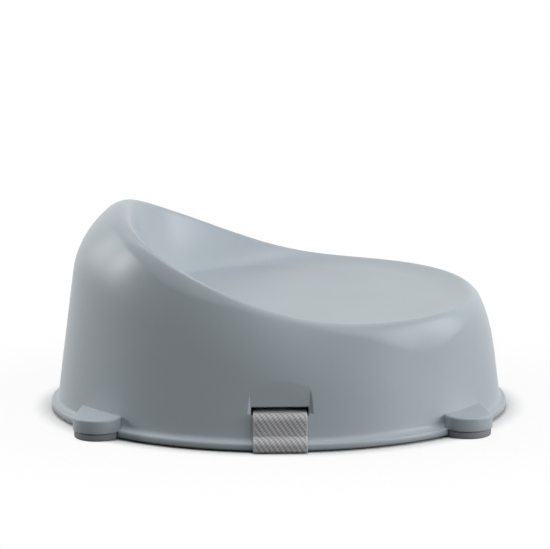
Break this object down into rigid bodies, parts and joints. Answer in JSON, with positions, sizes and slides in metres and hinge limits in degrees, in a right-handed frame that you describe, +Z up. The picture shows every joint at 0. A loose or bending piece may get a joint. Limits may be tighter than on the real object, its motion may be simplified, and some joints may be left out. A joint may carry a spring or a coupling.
{
  "type": "chair booster seat",
  "caption": "Moulded booster seat with a raised backrest, rubber feet and a webbing strap with a side-release buckle that ties it to a dining chair.",
  "frame": {"origin": "on the rest plane under the feet, below the middle of the base", "axes": "+X towards the sitter's front, +Y towards the sitter's left, +Z up from the rest plane"},
  "size_m": [0.345, 0.3058, 0.1534],
  "materials": {
    "shell_plastic": "fine matt moulded texture, grey blue",
    "foot_rubber": "soft matt rubber, near black",
    "webbing": "woven twill webbing, mid grey",
    "buckle_plastic": "satin moulded plastic, dark grey",
    "elastic": "ribbed elastic band, dark grey"
  },
  "bodies": {
    "seat": {"seat_shell": "shell_plastic", "foot_rear_right": "foot_rubber", "foot_rear_left": "foot_rubber", "foot_front_right": "foot_rubber", "foot_front_left": "foot_rubber", "chair_strap": "webbing", "buckle_plug": "buckle_plastic"},
    "socket": {"buckle_socket": "buckle_plastic"},
    "prong_front": {"release_prong_front": "buckle_plastic"},
    "prong_rear": {"release_prong_rear": "buckle_plastic"},
    "keeper": {"strap_keeper": "elastic"}
  },
  "joints": [
    {"name": "buckle_release", "type": "slide", "parent": "seat", "child": "socket", "axis": [0, -1, 0], "range_m": [0, 0.036], "deforming": ["chair_strap", "release_prong_front", "release_prong_rear"]},
    {"name": "prong_front_squeeze", "type": "hinge", "parent": "seat", "child": "prong_front", "pos_m": [0.0098, -0.0016, 0.0082], "axis": [0, 0, -1], "range_deg": [0, 12], "stiffness_Nm_per_rad": 0.5},
    {"name": "prong_rear_squeeze", "type": "hinge", "parent": "seat", "child": "prong_rear", "pos_m": [-0.0166, -0.0016, 0.0082], "axis": [0, 0, 1], "range_deg": [0, 12], "stiffness_Nm_per_rad": 0.5},
    {"name": "keeper_slide", "type": "slide", "parent": "seat", "child": "keeper", "axis": [0, 1, 0], "range_m": [-0.04, 0.024]}
  ],
  "couplings": [
    {"joint": "prong_rear_squeeze", "follows": "prong_front_squeeze", "ratio": 1}
  ]
}
